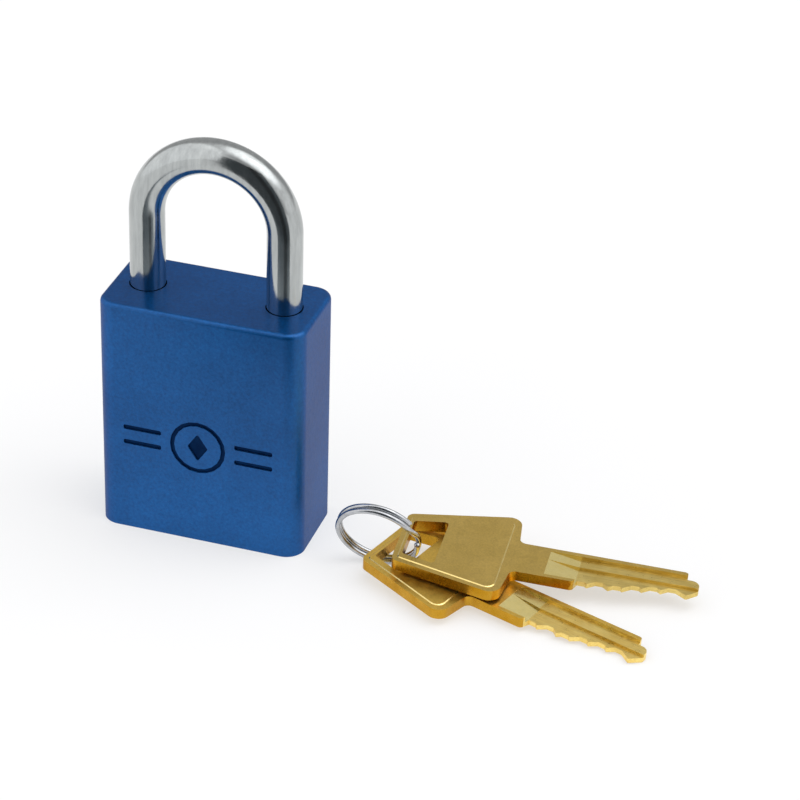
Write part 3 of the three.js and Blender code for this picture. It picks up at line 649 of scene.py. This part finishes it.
def make_camera():
    forward = Vector((-math.sin(CAMERA_YAW) * math.cos(CAMERA_PITCH),
                      math.cos(CAMERA_YAW) * math.cos(CAMERA_PITCH),
                      -math.sin(CAMERA_PITCH)))
    level = forward.cross(UPWARD).normalized()
    above = level.cross(forward)
    right = level * math.cos(CAMERA_ROLL) + above * math.sin(CAMERA_ROLL)
    up = above * math.cos(CAMERA_ROLL) - level * math.sin(CAMERA_ROLL)
    place = CAMERA_TARGET - forward * CAMERA_DISTANCE + right * CAMERA_RIGHT + up * CAMERA_UP
    data = bpy.data.cameras.new("camera")
    data.sensor_width = SENSOR_MM
    data.lens = CAMERA_FOCAL / FRAME_PIXELS * SENSOR_MM
    data.clip_start = CAMERA_NEAR
    camera = bpy.data.objects.new("camera", data)
    axes = Matrix((right, up, -forward)).transposed().to_4x4()
    axes.translation = place
    camera.matrix_world = axes
    bpy.context.scene.collection.objects.link(camera)
    bpy.context.scene.camera = camera


FLOOR_HALF = 1.6
FLOOR_GLOW = 0.57
FLOOR_CELLS = 4


def make_floor():
    bm = bmesh.new()
    bmesh.ops.create_grid(bm, x_segments=FLOOR_CELLS, y_segments=FLOOR_CELLS, size=FLOOR_HALF)
    floor = object_from(bm, "floor")
    nodes = Nodes("pale_floor")
    nodes.set(Roughness=0.9, Specular_IOR_Level=0.1, Emission_Color=rgb(0.92, 0.92, 0.92),
              Emission_Strength=FLOOR_GLOW)
    clouds = nodes.noise(scale=6)
    nodes.drive("Base Color", nodes.ramp(clouds, low=rgb(0.40, 0.40, 0.40), high=rgb(0.42, 0.42, 0.42)))
    paint(floor, nodes.material)


# A painted reflection of the studio's dark side: an upright sheet bent round the front of the lock, that only
# shows in reflections and paints dark bands into the chrome. It is wider at its foot, and its ends are angles from
# the front, -Y, towards +X.
FLAG_RADIUS = 0.078
FLAG_HEIGHT = 0.145
FLAG_FOOT_START = math.radians(-19)
FLAG_HEAD_START = math.radians(-7)
FLAG_END = math.radians(56)
FLAG_STEPS = 24
FLAG_FADE_START = 7.8 * MM
FLAG_FADE_END = 26 * MM
FLAG_HEAD_SHARE = 0.28
FLAG_TINT = (0.88, 1.0, 1.08)
# Angle from the front in degrees, and the sheet's painted reflection tone there at its foot. The camera's side is
# the darkest.
FLAG_TONES = ((-19, 0.32), (20, 0.32), (26, 0.13), (38, 0.13), (43, 0.38), (56, 0.55))


def painted_reflection_tones():
    """Painted reflection tones: grey that darkens upwards, with the camera painted as a darker upright band."""
    nodes = Nodes("painted_reflection_sheet")
    nodes.set(Roughness=1.0, Specular_IOR_Level=0.0)
    parts = nodes.tree.nodes.new("ShaderNodeSeparateXYZ")
    nodes.link(nodes.place, parts.inputs["Vector"])
    across = nodes.span(parts.outputs["X"], -1, 1, PLUG_X - 1, PLUG_X + 1)
    toward = nodes.span(parts.outputs["Y"], 1, -1, -1, 1)
    turn = nodes.tree.nodes.new("ShaderNodeMath")
    turn.operation = "ARCTAN2"
    nodes.link(across, turn.inputs[0])
    nodes.link(toward, turn.inputs[1])
    first_angle, last_angle = FLAG_TONES[0][0], FLAG_TONES[-1][0]
    place = nodes.span(turn.outputs["Value"], 0, 1, math.radians(first_angle), math.radians(last_angle))
    tones = nodes.tree.nodes.new("ShaderNodeValToRGB")
    nodes.link(place, tones.inputs["Fac"])
    stops = tones.color_ramp.elements
    while len(stops) < len(FLAG_TONES):
        stops.new(0.5)
    for stop, (angle, tone) in zip(stops, FLAG_TONES):
        stop.position = (angle - first_angle) / (last_angle - first_angle)
        stop.color = rgb(*(share * tone for share in FLAG_TINT))
    fade = nodes.span(parts.outputs["Z"], 1.0, FLAG_HEAD_SHARE, FLAG_FADE_START, FLAG_FADE_END)
    reflection_mottle = nodes.span(nodes.noise(scale=40), low=0.92, high=1.08)
    nodes.drive("Base Color", nodes.scaled(nodes.scaled(tones.outputs["Color"], fade), reflection_mottle))
    return nodes.material


def make_painted_reflection_flag():
    bm = bmesh.new()
    columns = []
    for step in range(FLAG_STEPS + 1):
        column = []
        for start, height in ((FLAG_FOOT_START, MM), (FLAG_HEAD_START, FLAG_HEIGHT)):
            turn = start + (FLAG_END - start) * step / FLAG_STEPS
            x = PLUG_X + FLAG_RADIUS * math.sin(turn)
            column.append(bm.verts.new((x, -FLAG_RADIUS * math.cos(turn), height)))
        columns.append(column)
    for first, second in zip(columns, columns[1:]):
        bm.faces.new((first[0], second[0], second[1], first[1]))
    flag = object_from(bm, "painted_reflection_flag")
    paint(flag, painted_reflection_tones())
    flag.visible_camera = False
    flag.visible_diffuse = False
    flag.visible_shadow = False


LAMP_SIZE = 0.25
LAMP_DISTANCE = 0.8
LAMP_RADIANCE = 1.0
LAMP_AZIMUTH = 105
LAMP_ELEVATION = 62

# The studio's walls: a dim level all round, and smooth pools of light in it. Azimuth is from the front, -Y,
# towards +X; a pool is full within its core angle and gone past its reach.
STUDIO_LEVEL = 0.52
STUDIO_COLOUR = (1.0, 1.0, 1.01)
POOLS = (
    # azimuth, elevation, core, reach, strength
    (-62, 25, 42, 55, 0.72),
    (95, 25, 23, 46, 0.50),
    (LAMP_AZIMUTH, LAMP_ELEVATION, 18, 40, 1.30),
    (0, 90, 10, 38, 0.42),
)


def direction(azimuth, elevation):
    turn, rise = math.radians(azimuth), math.radians(elevation)
    return Vector((math.sin(turn) * math.cos(rise), -math.cos(turn) * math.cos(rise), math.sin(rise)))


def make_world():
    world = bpy.data.worlds.new("studio")
    world.use_nodes = True
    tree = world.node_tree
    place = tree.nodes.new("ShaderNodeTexCoord").outputs["Generated"]
    total = None
    for azimuth, elevation, core, reach, strength in POOLS:
        toward = tree.nodes.new("ShaderNodeVectorMath")
        toward.operation = "DOT_PRODUCT"
        toward.inputs[1].default_value = direction(azimuth, elevation)
        tree.links.new(place, toward.inputs[0])
        share = tree.nodes.new("ShaderNodeMapRange")
        share.interpolation_type = "SMOOTHSTEP"
        share.inputs["From Min"].default_value = math.cos(math.radians(reach))
        share.inputs["From Max"].default_value = math.cos(math.radians(core))
        share.inputs["To Max"].default_value = strength
        tree.links.new(toward.outputs["Value"], share.inputs["Value"])
        add = tree.nodes.new("ShaderNodeMath")
        add.inputs[0].default_value = STUDIO_LEVEL
        if total:
            tree.links.new(total, add.inputs[0])
        tree.links.new(share.outputs["Result"], add.inputs[1])
        total = add.outputs["Value"]
    tree.links.new(total, tree.nodes["Background"].inputs["Strength"])
    tree.nodes["Background"].inputs["Color"].default_value = rgb(*STUDIO_COLOUR)
    bpy.context.scene.world = world
    bpy.context.scene.view_settings.view_transform = "Standard"


BACKDROP_RADIUS = 1.5
BACKDROP_AROUND = 48
BACKDROP_UP = 24


def make_backdrop():
    """A white dome that only the camera sees, so that low views have no grey above the floor's edge."""
    bm = bmesh.new()
    bmesh.ops.create_uvsphere(bm, u_segments=BACKDROP_AROUND, v_segments=BACKDROP_UP, radius=BACKDROP_RADIUS)
    below = [vert for vert in bm.verts if vert.co.z < -MM]
    bmesh.ops.delete(bm, geom=below, context="VERTS")
    dome = object_from(bm, "backdrop")
    nodes = Nodes("white_backdrop")
    nodes.set(Roughness=1.0, Specular_IOR_Level=0.0, Emission_Strength=1.0)
    clouds = nodes.noise(scale=2)
    nodes.drive("Emission Color", nodes.ramp(clouds, low=rgb(0.97, 0.97, 0.97), high=rgb(1.0, 1.0, 1.0)))
    paint(dome, nodes.material)
    dome.visible_diffuse = False
    dome.visible_glossy = False
    dome.visible_transmission = False
    dome.visible_shadow = False


def make_key_light():
    """A broad lamp in the brightest pool, which gives the soft shadows their side."""
    data = bpy.data.lights.new("softbox", "AREA")
    data.shape = "DISK"
    data.size = LAMP_SIZE
    data.energy = LAMP_RADIANCE * math.pi * math.pi * (LAMP_SIZE / 2) ** 2
    lamp = bpy.data.objects.new("softbox", data)
    aim = direction(LAMP_AZIMUTH, LAMP_ELEVATION)
    lamp.location = CAMERA_TARGET + aim * LAMP_DISTANCE
    lamp.rotation_euler = aim.to_track_quat("Z", "Y").to_euler()
    bpy.context.scene.collection.objects.link(lamp)


make_camera()
make_body()
make_shackle()
make_keys()
make_ring()
steel_for_springs = spring_steel()
make_springs(steel_for_springs)
finish_inner_parts(steel_for_springs)
make_floor()
make_painted_reflection_flag()
make_backdrop()
make_key_light()
make_world()
